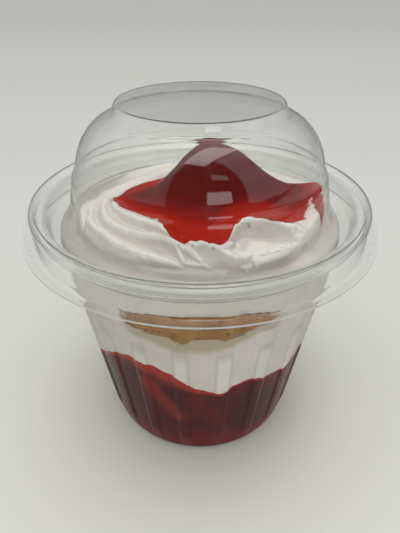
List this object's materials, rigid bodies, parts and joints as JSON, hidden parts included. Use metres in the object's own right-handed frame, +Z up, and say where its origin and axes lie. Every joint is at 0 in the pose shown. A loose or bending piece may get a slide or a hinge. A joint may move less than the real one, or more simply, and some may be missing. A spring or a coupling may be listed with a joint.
{
  "type": "lidded parfait cup",
  "caption": "Clear ribbed plastic cup under a clear dome lid, filled with strawberry glaze, cream, sponge and piped cream with a glazed peak.",
  "frame": {"origin": "centre of the cup's base, at the height of the surface it stands on", "axes": "+Z up along the axis of cup and lid; the side the picture shows faces -Y, with +X to its right"},
  "size_m": [0.1104, 0.1104, 0.1131],
  "materials": {
    "cup_plastic": "clear, thin, glossy formed sheet",
    "lid_plastic": "clear, thin, glossy formed sheet",
    "strawberry_gel": "dark red jelled strawberry, smooth behind the wall",
    "whipped_cream": "soft satin whipped cream",
    "sponge_cake": "open crumb, matte",
    "strawberry_glaze": "wet, glossy, translucent red"
  },
  "bodies": {
    "root": {"cup": "cup_plastic", "lid": "lid_plastic", "strawberry_layer": "strawberry_gel", "cream_layer": "whipped_cream", "sponge_layer": "sponge_cake", "cream_swirl": "whipped_cream", "strawberry_topping": "strawberry_glaze"}
  },
  "joints": []
}
